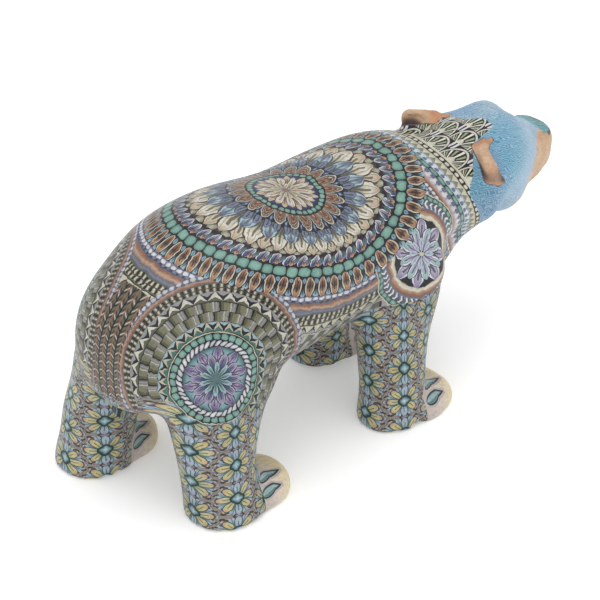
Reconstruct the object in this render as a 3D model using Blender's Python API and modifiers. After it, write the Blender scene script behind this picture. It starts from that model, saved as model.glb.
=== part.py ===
"""A polar bear in baked polymer clay, standing in mid-stride.

The whole bear is one solid. It faces +X, its left side is +Y and its soles stand on z = 0, with the
origin under the middle of its bounding box. Its pose and proportions are shares of its length: every
station and every half size below is in hundredths of BEAR_LENGTH.
"""

import math

import bmesh
import bpy
from mathutils import Matrix, Vector

BEAR_LENGTH = 0.200
SHARE = BEAR_LENGTH / 100

# How finely the clay forms are fused, and how often the joins between them are rubbed smooth: well for
# the body, lightly where the ears are pressed on.
FUSE_GRAIN = 0.6 * SHARE
BODY_RUBS = 40
EAR_RUBS = 4
FACE_COUNT = 9000

RING_POINTS = 32
RINGS_PER_STATION = 4

# Torso: distance along the body, centre height, half width, height above the centre, depth below it.
TORSO_SIDE = 0.5
TORSO = (
    (-45.5, 27.0, 4.0, 4.0, 4.0),
    (-44.0, 27.0, 9.0, 8.5, 8.0),
    (-39.5, 27.5, 13.5, 12.5, 9.0),
    (-33.0, 28.0, 16.5, 15.5, 10.0),
    (-25.0, 30.0, 18.0, 17.0, 11.5),
    (-14.0, 31.5, 18.0, 15.5, 13.0),
    (-2.0, 31.0, 16.5, 14.0, 13.0),
    (10.0, 31.0, 16.0, 14.0, 13.5),
    (19.0, 31.0, 15.0, 13.5, 13.5),
    (26.0, 31.5, 12.0, 11.0, 13.0),
    (32.0, 32.0, 8.5, 8.0, 10.0),
    (35.0, 32.5, 5.5, 5.0, 6.5),
)

# Neck, skull and muzzle: centre, turn to the right and nod in degrees, half width, height above the
# centre, depth below it.
NECK = (
    ((12.0, 0.0, 32.0), 0, 0, 9.0, 9.0, 9.0),
    ((21.5, -0.5, 33.0), 1, 0, 12.5, 10.5, 12.5),
    ((28.0, -1.0, 33.5), 2, 0, 11.5, 9.0, 11.5),
    ((33.5, -2.0, 34.5), 3, -4, 11.5, 8.5, 10.5),
    ((37.5, -2.5, 35.0), 3, -10, 10.0, 8.0, 9.0),
    ((41.5, -2.5, 34.5), 3, -20, 9.0, 7.5, 8.5),
    ((45.0, -2.5, 33.0), 3, -24, 7.5, 6.5, 8.0),
    ((48.0, -2.5, 32.0), 3, -24, 6.5, 5.0, 7.5),
    ((51.0, -2.5, 31.5), 3, -24, 6.0, 5.5, 6.5),
    ((53.0, -2.5, 30.5), 3, -24, 4.0, 4.0, 4.0),
)

# Legs: height, centre forward, centre outward, half length, half width.
HIND_LEG = (
    (33.0, 3.5, -5.0, 8.0, 5.0),
    (25.0, 3.0, -3.5, 10.0, 8.0),
    (18.0, 2.0, -2.5, 8.5, 7.5),
    (12.0, 0.5, -1.0, 7.0, 6.5),
    (6.0, 0.5, -0.5, 6.5, 6.5),
    (2.0, 1.0, 0.0, 7.0, 7.0),
    (-2.5, 0.5, 0.0, 7.0, 6.5),
)
FORE_LEG = (
    (33.0, 0.5, -3.0, 7.0, 6.0),
    (24.0, 0.0, -2.0, 8.5, 7.0),
    (16.0, -0.5, -1.0, 7.0, 6.0),
    (10.0, -0.5, 0.0, 6.0, 6.0),
    (5.0, 0.0, 0.5, 6.0, 5.5),
    (2.0, 0.5, 0.5, 6.5, 6.0),
    (-2.5, 0.5, 1.0, 6.5, 6.0),
)
# Where each foot stands, forward and to the left, and how far its leg leans that way at LEAN_HEIGHT.
LEAN_HEIGHT = 30.0
FEET = {
    "hind_right": (-33.0, -13.5, -1.0, 0.0),
    "hind_left": (-40.0, 12.0, 4.5, -1.0),
    "fore_right": (6.0, -13.0, 5.0, 0.0),
    "fore_left": (10.5, 8.5, 0.0, 0.0),
}
# Toes: how far ahead of the leg and above the ground they are centred, then their half sizes.
HIND_TOES = (7.0, 1.5, (7.0, 6.5, 5.0))
FORE_TOES = (6.5, 1.0, (6.5, 7.0, 5.0))

# The swell of the brow, then the swells that come in pairs: centre, half sizes and, for a pair, the
# line that it lies either side of.
BROW = ((41.0, -1.5, 39.0), (5.0, 6.0, 4.5))
SWELLS = {
    "haunch": ((-29.0, 9.0, 25.0), (12.0, 9.0, 12.5), 0.5),
    "shoulder": ((11.5, 7.5, 27.0), (10.5, 8.0, 12.0), 0.0),
    "cheek": ((40.0, 3.0, 31.0), (6.0, 5.5, 7.5), -2.5),
}

# Ears: each a flap that stands up and back from the slope of the skull, either side of EAR_LINE. A
# thick rim, thicker still at the two ends, most at the inner one, runs round a thin middle that is
# hollow on both faces.
EAR = (33.5, 6.75, 38.0)
EAR_LINE = -2.25
EAR_HALF_LENGTH = 4.4
EAR_REACH = 5.6
EAR_HALF_MIDDLE = 0.6
EAR_HALF_RIM = 1.7
EAR_FLARE = 1.65
EAR_CUP = 1.0
EAR_LEAN = 0.3
EAR_SLOPE = 55
EAR_SWEEP = 22
EAR_LAY_BACK = 12

# A fold sharper than this many degrees is an edge, as round the soles.
SOLE_EDGE = 50

CLAY = (0.36, 0.36, 0.33, 1.0)
CLAY_ROUGHNESS = 0.4


def clear_scene():
    for thing in list(bpy.data.objects):
        bpy.data.objects.remove(thing, do_unlink=True)


def eased(rows, t):
    """The row at t, counted in rows, on a smooth curve through them all."""
    i = min(int(t), len(rows) - 2)
    f = t - i
    a, b, c, d = (rows[min(max(k, 0), len(rows) - 1)] for k in (i - 1, i, i + 1, i + 2))
    return [
        0.5 * ((2 * q) + (r - p) * f + (2 * p - 5 * q + 4 * r - s) * f * f + (3 * q - p - 3 * r + s) * f ** 3)
        for p, q, r, s in zip(a, b, c, d)
    ]


def steps(rows):
    count = (len(rows) - 1) * RINGS_PER_STATION
    return [eased(rows, k / RINGS_PER_STATION) for k in range(count + 1)]


def ring(centre, side, up, half_width, above, below):
    """An oval of RING_POINTS in the plane of side and up."""
    points = []
    for k in range(RING_POINTS):
        turn = 2 * math.pi * k / RING_POINTS
        rise = math.sin(turn)
        height = above if rise > 0 else below
        points.append((centre + side * (half_width * math.cos(turn)) + up * (height * rise)) * SHARE)
    return points


def loft(name, rings):
    """A closed skin through rings, each a list of points that starts at the same place."""
    mesh = bpy.data.meshes.new(name)
    bm = bmesh.new()
    rows = [[bm.verts.new(point) for point in points] for points in rings]
    for low, high in zip(rows, rows[1:]):
        for i in range(RING_POINTS):
            j = (i + 1) % RING_POINTS
            bm.faces.new((low[i], low[j], high[j], high[i]))
    for end in (rows[0], rows[-1]):
        bm.faces.new(end)
    bmesh.ops.recalc_face_normals(bm, faces=bm.faces)
    bm.to_mesh(mesh)
    bm.free()
    thing = bpy.data.objects.new(name, mesh)
    bpy.context.scene.collection.objects.link(thing)
    return thing


def torso():
    across, up = Vector((0, 1, 0)), Vector((0, 0, 1))
    return loft("torso", [
        ring(Vector((x, TORSO_SIDE, z)), across, up, half_width, above, below)
        for x, z, half_width, above, below in steps(TORSO)
    ])


def neck():
    rings = []
    for x, y, z, turn, nod, half_width, above, below in steps([(*centre, *rest) for centre, *rest in NECK]):
        facing = Matrix.Rotation(-math.radians(turn), 3, "Z") @ Matrix.Rotation(-math.radians(nod), 3, "Y")
        across, up = facing @ Vector((0, 1, 0)), facing @ Vector((0, 0, 1))
        rings.append(ring(Vector((x, y, z)), across, up, half_width, above, below))
    return loft("neck", rings)


def leg(name, rows, foot):
    forward, left, lean_forward, lean_left = foot
    outward = math.copysign(1, left)
    rings = []
    for z, x, y, half_length, half_width in steps(rows):
        lean = max(z, 0) / LEAN_HEIGHT
        centre = Vector((forward + x + lean_forward * lean, left + outward * y + lean_left * lean, z))
        along, across = Vector((1, 0, 0)), Vector((0, 1, 0))
        rings.append(ring(centre, along, across, half_length, half_width, half_width))
    return loft(name, rings)


def ball(name, centre, half_sizes):
    bpy.ops.mesh.primitive_uv_sphere_add(
        segments=RING_POINTS, ring_count=RING_POINTS // 2, radius=SHARE, location=Vector(centre) * SHARE
    )
    thing = bpy.context.object
    thing.name = name
    thing.scale = half_sizes
    return thing


def ear(name, outward):
    """A hollowed flap, standing out from the skull to the left or, where outward is -1, to the right."""
    thing = ball(name, (EAR[0], EAR_LINE + outward * EAR[1], EAR[2]), (1, 1, 1))
    for v in thing.data.vertices:
        x, y, z = v.co / SHARE
        spread = min(y * y + z * z, 1)
        rim = EAR_HALF_RIM + EAR_FLARE * z * z * (1 + z / 3)
        half = (EAR_HALF_MIDDLE + (rim - EAR_HALF_MIDDLE) * spread) * math.sqrt(1 - spread ** 3)
        bow = EAR_CUP * (1 - z * z)
        reach = EAR_REACH * (1 - EAR_LEAN * z)
        v.co = Vector((math.copysign(half, x) - bow, reach * y, EAR_HALF_LENGTH * z)) * SHARE
    sweep = Matrix.Rotation(outward * math.radians(EAR_SWEEP), 4, "Z")
    slope = Matrix.Rotation(outward * math.radians(EAR_SLOPE), 4, "X")
    lay_back = Matrix.Rotation(outward * math.radians(EAR_LAY_BACK), 4, "Z")
    thing.data.transform(sweep @ slope @ lay_back)
    return thing


def finished_mesh(thing):
    """The mesh of thing as its modifiers leave it."""
    bpy.context.view_layer.update()
    graph = bpy.context.evaluated_depsgraph_get()
    return bpy.data.meshes.new_from_object(thing.evaluated_get(graph))


def fused(name, parts, rubs):
    """The parts pressed into one lump of clay, with the joins rubbed smooth."""
    bpy.context.view_layer.update()
    bm = bmesh.new()
    for part in parts:
        part.data.transform(part.matrix_world)
        bm.from_mesh(part.data)
        bpy.data.objects.remove(part, do_unlink=True)
    mesh = bpy.data.meshes.new(name)
    bm.to_mesh(mesh)
    bm.free()
    lump = bpy.data.objects.new(name, mesh)
    bpy.context.scene.collection.objects.link(lump)
    fuse = lump.modifiers.new("fuse", "REMESH")
    fuse.mode = "VOXEL"
    fuse.voxel_size = FUSE_GRAIN
    rub = lump.modifiers.new("rub_smooth", "SMOOTH")
    rub.factor = 0.5
    rub.iterations = rubs
    lump.data = finished_mesh(lump)
    lump.modifiers.clear()
    return lump


def thinned(lump):
    """Lump with no more than FACE_COUNT triangles."""
    lump.data.calc_loop_triangles()
    thin = lump.modifiers.new("thin", "DECIMATE")
    thin.ratio = FACE_COUNT / len(lump.data.loop_triangles)
    lump.data = finished_mesh(lump)
    lump.modifiers.clear()


def set_down(lump):
    """Cut the soles flat on z = 0 and bring the middle of the bounding box over the origin."""
    bm = bmesh.new()
    bm.from_mesh(lump.data)
    everything = bm.verts[:] + bm.edges[:] + bm.faces[:]
    bmesh.ops.bisect_plane(bm, geom=everything, plane_co=(0, 0, 0), plane_no=(0, 0, 1), clear_inner=True)
    rims = [edge for edge in bm.edges if edge.is_boundary]
    bmesh.ops.holes_fill(bm, edges=rims, sides=0)
    bmesh.ops.triangulate(bm, faces=bm.faces)
    xs = [v.co.x for v in bm.verts]
    ys = [v.co.y for v in bm.verts]
    middle = Vector((min(xs) + max(xs), min(ys) + max(ys), 0)) / 2
    bmesh.ops.translate(bm, verts=bm.verts, vec=-middle)
    bm.to_mesh(lump.data)
    bm.free()


def clay():
    material = bpy.data.materials.new("polymer_clay")
    material.use_nodes = True
    shader = material.node_tree.nodes["Principled BSDF"]
    shader.inputs["Base Color"].default_value = CLAY
    shader.inputs["Roughness"].default_value = CLAY_ROUGHNESS
    return material


def main():
    clear_scene()
    lumps = [torso(), neck(), ball("brow", *BROW)]
    for name, foot in FEET.items():
        rows, toes = (HIND_LEG, HIND_TOES) if name.startswith("hind") else (FORE_LEG, FORE_TOES)
        ahead, rise, half_sizes = toes
        lumps.append(leg(name, rows, foot))
        lumps.append(ball(name + "_toes", (foot[0] + ahead, foot[1], rise), half_sizes))
    for name, ((x, y, z), half_sizes, line) in SWELLS.items():
        lumps += [ball(name, (x, line + outward * y, z), half_sizes) for outward in (-1, 1)]
    body = fused("body", lumps, BODY_RUBS)
    bear = fused("polar_bear", [body, ear("right_ear", -1), ear("left_ear", 1)], EAR_RUBS)
    thinned(bear)
    set_down(bear)
    bear.data.materials.append(clay())
    bear.data.shade_smooth()
    bear.data.set_sharp_from_angle(angle=math.radians(SOLE_EDGE))
    sculpture = bpy.data.collections.new("polymer_clay_polar_bear")
    bpy.context.scene.collection.children.link(sculpture)
    bpy.context.scene.collection.objects.unlink(bear)
    sculpture.objects.link(bear)


main()
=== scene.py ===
import heapq
import math

import bpy
import numpy as np
from mathutils import Matrix, Vector


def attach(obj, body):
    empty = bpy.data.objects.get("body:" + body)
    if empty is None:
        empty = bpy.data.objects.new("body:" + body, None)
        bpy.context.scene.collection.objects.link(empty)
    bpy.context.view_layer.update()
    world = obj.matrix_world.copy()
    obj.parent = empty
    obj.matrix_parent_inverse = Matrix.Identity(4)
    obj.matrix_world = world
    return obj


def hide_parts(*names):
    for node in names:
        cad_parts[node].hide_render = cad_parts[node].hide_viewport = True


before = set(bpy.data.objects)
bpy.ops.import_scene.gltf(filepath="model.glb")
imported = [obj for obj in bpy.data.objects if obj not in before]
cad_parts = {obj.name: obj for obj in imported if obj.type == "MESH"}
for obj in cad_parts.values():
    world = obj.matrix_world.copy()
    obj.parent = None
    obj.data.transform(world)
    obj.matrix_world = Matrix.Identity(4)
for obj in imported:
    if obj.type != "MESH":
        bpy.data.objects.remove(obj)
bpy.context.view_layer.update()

MM = 0.001
TURN = 2 * math.pi


def shade(red, green, blue, greyed=0.0):
    """A clay's colour from its screen values, 0 to 255, moved towards grey by a share."""
    grey = (red + green + blue) / 3
    return tuple(round(((value + (grey - value) * greyed) / 255) ** 2.2, 4) for value in (red, green, blue))


def muted(red, green, blue):
    """A clay of the patterns, which are all mixed with some grey."""
    return shade(red, green, blue, 0.22)


# Clay colours

NAVY = muted(42, 46, 76)
BLACK = muted(36, 33, 37)
SLATE = muted(76, 82, 90)
CREAM = muted(190, 185, 156)
PALE_CREAM = muted(207, 204, 186)
OLIVE = muted(95, 98, 74)
MOSS = muted(124, 128, 106)
BROWN = muted(78, 59, 55)
TAUPE = muted(104, 97, 98)
RUST = muted(146, 92, 66)
PEACH = muted(186, 148, 120)
TAN = muted(178, 134, 98)
TEAL = muted(70, 118, 108)
PALE_TEAL = muted(122, 170, 154)
SKY = muted(108, 152, 168)
PALE_SKY = muted(152, 184, 192)
BLUE = muted(64, 78, 126)
STEEL = muted(108, 116, 142)
LILAC = muted(160, 154, 176)
WHITE = muted(206, 206, 206)
PLUM = muted(74, 50, 86)
PURPLE = muted(124, 100, 156)
STONE = muted(146, 147, 148)


# Node arithmetic for the patterns


class Measure:
    """A number that varies over a clay, with sums done by nodes."""

    def __init__(self, clay, socket):
        self.clay = clay
        self.socket = socket

    def sum(self, operation, *others):
        node = self.clay.add("ShaderNodeMath", operation=operation)
        for slot, value in enumerate((self, *others)):
            self.clay.feed(node.inputs[slot], value)
        return Measure(self.clay, node.outputs[0])

    def __add__(self, other):
        return self.sum("ADD", other)

    def __sub__(self, other):
        return self.sum("SUBTRACT", other)

    def __rsub__(self, other):
        return self.sum("MULTIPLY_ADD", -1.0, other)

    def __mul__(self, other):
        return self.sum("MULTIPLY", other)

    def __truediv__(self, other):
        return self.sum("DIVIDE", other)

    def __pow__(self, other):
        return self.sum("POWER", other)

    __radd__ = __add__

    def size(self):
        return self.sum("ABSOLUTE")

    def part(self):
        return self.sum("FRACT")

    def whole(self):
        return self.sum("FLOOR")

    def above(self, limit):
        return self.sum("GREATER_THAN", limit)

    def below(self, limit):
        return self.sum("LESS_THAN", limit)

    def least(self, limit):
        return self.sum("MAXIMUM", limit)

    def most(self, limit):
        return self.sum("MINIMUM", limit)

    def root(self):
        return self.sum("SQRT")

    def between(self, low, high):
        return self.sum("COMPARE", (low + high) / 2, (high - low) / 2)

    def eased(self, low, high):
        node = self.clay.add("ShaderNodeMapRange", interpolation_type="SMOOTHSTEP")
        self.clay.feed(node.inputs["Value"], self)
        node.inputs["From Min"].default_value = low
        node.inputs["From Max"].default_value = high
        return Measure(self.clay, node.outputs[0])

    def cell(self, count=1.0, shift=0.0):
        """Where this lies in one of count repeats, from -0.5 to 0.5, 0 in the middle."""
        return self.sum("MULTIPLY_ADD", count, shift + 0.5).part() - 0.5

    def number(self, count=1.0, shift=0.0):
        """Which of count repeats this lies in."""
        return self.sum("MULTIPLY_ADD", count, shift + 0.5).whole()


def polar(across, along):
    """Distance from the middle, and the turn round it from -0.5 to 0.5."""
    return (across * across + along * along).root(), along.sum("ARCTAN2", across) / TURN


class Clay:
    """One clay of the bear: its pattern's colours, its sheen and its fine relief."""

    def __init__(self, name):
        self.material = bpy.data.materials.new(name)
        self.material.use_nodes = True
        self.tree = self.material.node_tree
        self.tree.nodes.clear()
        self.place = self.add("ShaderNodeTexCoord").outputs["Object"]

    def add(self, kind, **settings):
        node = self.tree.nodes.new(kind)
        for key, value in settings.items():
            setattr(node, key, value)
        return node

    def feed(self, socket, value):
        if isinstance(value, Measure):
            self.tree.links.new(value.socket, socket)
        elif isinstance(value, bpy.types.NodeSocket):
            self.tree.links.new(value, socket)
        elif isinstance(value, tuple):
            socket.default_value = (*value, 1.0)
        else:
            socket.default_value = value

    def noise(self, scale, detail=2.0, roughness=0.5, offset=(0, 0, 0)):
        """Soft mottling, with scale in waves a metre."""
        shift = self.add("ShaderNodeVectorMath", operation="ADD")
        self.feed(shift.inputs[0], self.place)
        shift.inputs[1].default_value = offset
        node = self.add("ShaderNodeTexNoise")
        self.feed(node.inputs["Vector"], shift.outputs[0])
        node.inputs["Scale"].default_value = scale
        node.inputs["Detail"].default_value = detail
        node.inputs["Roughness"].default_value = roughness
        return Measure(self, node.outputs[0])

    def chance(self, *numbers):
        """A steady random value from 0 to 1 for each repeat of a pattern."""
        joined = self.add("ShaderNodeCombineXYZ")
        for slot, number in enumerate(numbers):
            self.feed(joined.inputs[slot], number)
        node = self.add("ShaderNodeTexWhiteNoise", noise_dimensions="3D")
        self.feed(node.inputs["Vector"], joined.outputs[0])
        return Measure(self, node.outputs["Value"])

    def fleck(self, scale=700, detail=2.0):
        """Fine unevenness from -0.5 to 0.5, which frays the edge of a colour."""
        return self.noise(scale, detail) - 0.5

    def split(self, place, count):
        """The first few numbers of a place, each on its own."""
        node = self.add("ShaderNodeSeparateXYZ")
        self.feed(node.inputs[0], place)
        return [Measure(self, node.outputs[k]) for k in range(count)]

    def laid(self, across_wobble, along_wobble=None):
        """The slice's own two directions, a little uneven as sliced and rolled by hand."""
        wobbles = (across_wobble, across_wobble if along_wobble is None else along_wobble)
        uv = self.add("ShaderNodeUVMap", uv_map="slices")
        shown = []
        for k, (straight, wobble) in enumerate(zip(self.split(uv.outputs[0], 2), wobbles)):
            unevenness = self.noise(170, 3.0, 0.55, offset=(3 * k, k, 2 * k))
            shown.append(unevenness.sum("MULTIPLY_ADD", 2 * wobble, straight - wobble))
        return shown

    def ramp(self, value, stops):
        """A colour that changes with value, from a list of (value, colour)."""
        low, high = stops[0][0], stops[-1][0]
        node = self.add("ShaderNodeValToRGB")
        ramp = node.color_ramp
        while len(ramp.elements) < len(stops):
            ramp.elements.new(0.5)
        for element, (at, colour) in zip(ramp.elements, stops):
            element.position = (at - low) / (high - low)
            element.color = (*colour, 1.0)
        self.feed(node.inputs[0], value.sum("MULTIPLY_ADD", 1 / (high - low), -low / (high - low)))
        return node.outputs[0]

    def run(self, *colours):
        """A leaf's colours, spaced evenly from its root to its tip."""
        return lambda t: self.ramp(t, [(k / (len(colours) - 1), colour) for k, colour in enumerate(colours)])

    def over(self, under, colour, where):
        """Lays colour over what is under it, where the mask says."""
        node = self.add("ShaderNodeMix", data_type="RGBA")
        self.feed(node.inputs["Factor"], where)
        self.feed(node.inputs["A"], under)
        self.feed(node.inputs["B"], colour)
        return node.outputs["Result"]

    def darker(self, colour, amount):
        """Colour with its light taken down where amount is above 0."""
        node = self.add("ShaderNodeMix", data_type="RGBA", blend_type="MULTIPLY")
        self.feed(node.inputs["Factor"], amount)
        self.feed(node.inputs["A"], colour)
        node.inputs["B"].default_value = (0.12, 0.12, 0.14, 1.0)
        return node.outputs["Result"]

    def nested(self, under, t, side, width, colour, edge, line, fullness):
        """A pointed leaf in layers: t runs from its root to its tip, side away from its middle."""
        room = ((t * (1 - t) * 4).least(1e-5) ** fullness) * width
        out = side / room
        body = colour(t) if callable(colour) else colour
        body = self.over(body, edge, out.below(0.13) * t.between(0.05, 0.75) * 0.8)
        if line:
            body = self.over(body, edge, out.between(0.38, 0.46) * 0.6)
            body = self.over(body, line, out.between(0.56, 0.74))
        body = self.over(body, edge, out.above(0.78))
        return self.over(under, body, out.below(1.0))

    def petals(self, under, reach, turn, colour, edge, line=None, *, count, start, end, width,
               shift=0.0, fullness=0.7):
        """A ring of layered leaves from start to end: width is half a leaf's, as a share of its repeat."""
        t = (reach - start) / (end - start)
        return self.nested(under, t, turn.cell(count, shift).size(), width, colour, edge, line, fullness)

    def beads(self, under, turn, off, light, dark, *, count, length, width, shift=0.0):
        """A row of rounded beads: off is the distance from the row's middle line, length half a bead's as a
        share of its repeat, and width half of it across."""
        along = turn.cell(count, shift)
        far = (along / length).size() ** 3.0 + (off / width).size() ** 3.0
        tone = self.chance(turn.number(count, shift), 0.0, 0.0)
        grain = self.noise(500, 2.0)
        body = self.over(light, dark, (far * 0.8 + tone * 0.3 + grain * 0.6 - 0.35).most(1.0))
        return self.over(under, body, far.below(1.0))

    def teeth(self, under, turn, count, t, colour, where, shift=0.0):
        """A row of triangles that stand on t = 0 and reach t = 1."""
        side = turn.cell(count, shift).size() * 2
        return self.over(under, colour, (1 - t - side).above(0.0) * where)

    def finish(self, colour, roughness=0.40, relief=0.02):
        """Mottles and shades the colour, and gives the buffed clay its sheen and its fine relief."""
        cloud = self.noise(60, 3.0).eased(0.25, 0.75)
        grain = self.noise(900, 4.0, 0.75)
        dull = self.darker(colour, (cloud * 0.10) + (grain * 1.1 - 0.47).least(0.0))
        surface = self.add("ShaderNodeBsdfPrincipled")
        self.feed(surface.inputs["Base Color"], dull)
        self.feed(surface.inputs["Roughness"], cloud * 0.12 + (grain * 0.06 + roughness - 0.08))
        surface.inputs["Specular IOR Level"].default_value = 0.35
        bright = self.add("ShaderNodeRGBToBW")
        self.feed(bright.inputs[0], colour)
        height = Measure(self, bright.outputs[0]) * 0.8 + grain * 0.25 + cloud * 0.8
        bump = self.add("ShaderNodeBump")
        bump.inputs["Strength"].default_value = 0.35
        bump.inputs["Distance"].default_value = relief * MM
        self.feed(bump.inputs["Height"], height)
        self.feed(surface.inputs["Normal"], bump.outputs[0])
        output = self.add("ShaderNodeOutputMaterial")
        self.feed(output.inputs["Surface"], surface.outputs[0])
        return self.material


# The clays

# Where the round slices end, in millimetres from their middle, and how wide the collar is
BACK_ROSETTE_EDGE = 13.5
BACK_ARCHES_EDGE = 20.2
HIP_ROSETTE_EDGE = 15.7
HIP_ROWS_EDGE = 34.3
SHOULDER_EDGE = 20.6
COLLAR_WIDTH = 16.0

# The back's oval, half as long and half as wide in millimetres, and the share of it where its rows end
BACK_LENGTH = 46.0
BACK_WIDTH = 35.5
BACK_PETALS_EDGE = 0.80
BACK_LEAVES_EDGE = 0.91
BACK_BEADS_EDGE = 1.175
BACK_LINES_EDGE = 1.34
FLANK_EDGE = 1.72


def back_rosette():
    """The round slice on the back: cream petals on blue, in a ring of small teal beads."""
    clay = Clay("back_rosette")
    reach, turn = polar(*clay.laid(0.22))
    cream_leaf = clay.run(BROWN, TAN, CREAM, PALE_CREAM, PEACH)
    peach_leaf = clay.run(RUST, TAN, PEACH, CREAM)
    colour = clay.ramp(reach, [
        (0.0, BLUE), (5.0, BLUE), (9.6, shade(56, 66, 118)), (11.0, NAVY), (13.6, BLACK)])
    colour = clay.petals(colour, reach, turn, peach_leaf, BROWN, CREAM,
                         count=12, shift=0.5, start=2.0, end=11.0, width=0.40, fullness=0.8)
    colour = clay.petals(colour, reach, turn, cream_leaf, BROWN, PALE_CREAM,
                         count=12, start=1.0, end=10.2, width=0.44, fullness=0.75)
    colour = clay.petals(colour, reach, turn, CREAM, BROWN,
                         count=12, shift=0.5, start=0.6, end=4.8, width=0.36, fullness=0.8)
    colour = clay.over(colour, RUST, reach.below(0.8))
    colour = clay.over(colour, BLACK, reach.between(11.1, 13.8))
    colour = clay.beads(colour, turn, reach - 12.3, PALE_TEAL, TEAL, count=36, length=0.43, width=0.92)
    return clay.finish(colour)


def back_arches():
    """Copper arches in cream and dark lines, ringed round the rosette."""
    clay = Clay("back_arches")
    reach, turn = polar(*clay.laid(0.3))
    t = (reach - 13.7) / 6.4
    side = turn.cell(22, 0.5)
    bow = (side / 0.49).size() ** 1.8 + t.least(0.0) ** 1.9
    arch = clay.ramp(bow, [
        (0.0, PEACH), (0.06, RUST), (0.16, BROWN), (0.26, TAN), (0.36, RUST), (0.5, BROWN), (0.58, CREAM),
        (0.64, TAUPE), (0.7, BROWN), (0.78, TAN), (0.82, BLACK), (0.88, CREAM), (0.95, WHITE), (1.0, BLACK)])
    rib = (side / (t + 0.3)).cell(6).size().below(0.12) * bow.between(0.05, 0.74)
    arch = clay.over(arch, BLACK, rib * 0.8)
    gap = (side.size() - 0.5).size() * 7 + (t - 0.78).size() * 2.6
    colour = clay.ramp(gap, [(0.0, PALE_SKY), (0.3, SKY), (0.55, BLUE), (0.8, NAVY), (1.3, BLACK)])
    colour = clay.over(colour, arch, bow.below(1.0))
    colour = clay.over(colour, BLACK, reach.below(13.8))
    return clay.finish(colour)


def oval(across, along):
    """The oval that the back's rows follow: 1 outside the large beads, and the turn round it."""
    return polar(across / BACK_LENGTH, along / BACK_WIDTH)


def back_petals():
    """The wide field inside the oval: cream and peach leaves over teal stars."""
    clay = Clay("back_petals")
    across, along = clay.laid(0.45)
    reach, turn = polar(across, along)
    level = oval(across, along)[0]
    t = (reach - BACK_ARCHES_EDGE) / (reach / level * BACK_PETALS_EDGE - BACK_ARCHES_EDGE)
    star_leaf = clay.run(TEAL, SKY, PALE_SKY, STEEL, SLATE)
    cream_leaf = clay.run(OLIVE, MOSS, CREAM, PALE_CREAM, TAN)
    peach_leaf = clay.run(RUST, PEACH, CREAM, PEACH)
    olive_leaf = clay.run(BROWN, OLIVE, MOSS, CREAM)
    colour = clay.ramp(t, [(0.0, BLACK), (0.3, SLATE), (0.75, BROWN), (0.9, SLATE), (1.0, BLACK)])
    colour = clay.petals(colour, t, turn, olive_leaf, BLACK, MOSS,
                         count=40, shift=0.5, start=0.30, end=1.06, width=0.50, fullness=0.6)
    colour = clay.petals(colour, t, turn, peach_leaf, BROWN, CREAM,
                         count=20, start=0.16, end=0.98, width=0.38)
    colour = clay.petals(colour, t, turn, cream_leaf, BROWN, PALE_CREAM,
                         count=20, shift=0.5, start=0.10, end=0.92, width=0.42)
    colour = clay.petals(colour, t, turn, star_leaf, SLATE, PALE_SKY,
                         count=20, start=-0.05, end=0.60, width=0.44, fullness=0.75)
    colour = clay.petals(colour, t, turn, STEEL, BLACK,
                         count=40, shift=0.5, start=-0.10, end=0.32, width=0.42, fullness=0.8)
    return clay.finish(colour)


def back_leaves():
    """A dark row of leaning lilac and blue leaves with copper between them."""
    clay = Clay("back_leaves")
    level, turn = oval(*clay.laid(0.3))
    t = (level - BACK_PETALS_EDGE) / 0.113
    lean = turn + t * 0.011
    blue_leaf = clay.run(WHITE, LILAC, STEEL, BLUE, NAVY)
    green_leaf = clay.run(SLATE, TEAL, STEEL, LILAC)
    flame = clay.run(BROWN, RUST, PEACH, TAN)
    colour = clay.ramp(t, [(0.0, BLACK), (0.5, PLUM), (1.0, BLACK)])
    colour = clay.petals(colour, t, lean, blue_leaf, BLACK, WHITE,
                         count=46, start=0.03, end=0.98, width=0.44)
    colour = clay.petals(colour, t, lean, green_leaf, BLACK,
                         count=46, shift=0.5, start=0.20, end=0.90, width=0.22, fullness=0.8)
    colour = clay.petals(colour, t, turn, flame, BROWN,
                         count=46, shift=0.1, start=0.60, end=1.0, width=0.20, fullness=0.8)
    colour = clay.over(colour, BLACK, t.below(0.05))
    return clay.finish(colour)


def back_beads():
    """The large teal beads, and outside them pointed drops of copper and blue."""
    clay = Clay("back_beads")
    level, turn = oval(*clay.laid(0.3))
    t = (level - 1.005) / 0.17
    copper = clay.run(PEACH, RUST, BROWN, TAN, RUST)
    blue_drop = clay.run(NAVY, BLUE, SKY, PALE_SKY)
    colour = clay.ramp(t, [(0.0, BLACK), (0.4, SLATE), (0.8, NAVY), (1.05, BLACK)])
    colour = clay.petals(colour, t, turn, blue_drop, BLACK,
                         count=54, shift=0.5, start=0.35, end=1.1, width=0.30, fullness=0.8)
    colour = clay.petals(colour, t, turn, copper, BLACK, CREAM,
                         count=54, start=0.0, end=1.03, width=0.47, fullness=0.55)
    colour = clay.petals(colour, t, turn, SKY, NAVY,
                         count=54, shift=0.5, start=0.04, end=0.34, width=0.20, fullness=0.8)
    colour = clay.over(colour, BLACK, level.between(0.905, 1.008))
    colour = clay.beads(colour, turn, (level - 0.96) * 40, PALE_TEAL, TEAL,
                        count=54, shift=0.5, length=0.455, width=1.62)
    return clay.finish(colour)


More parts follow.
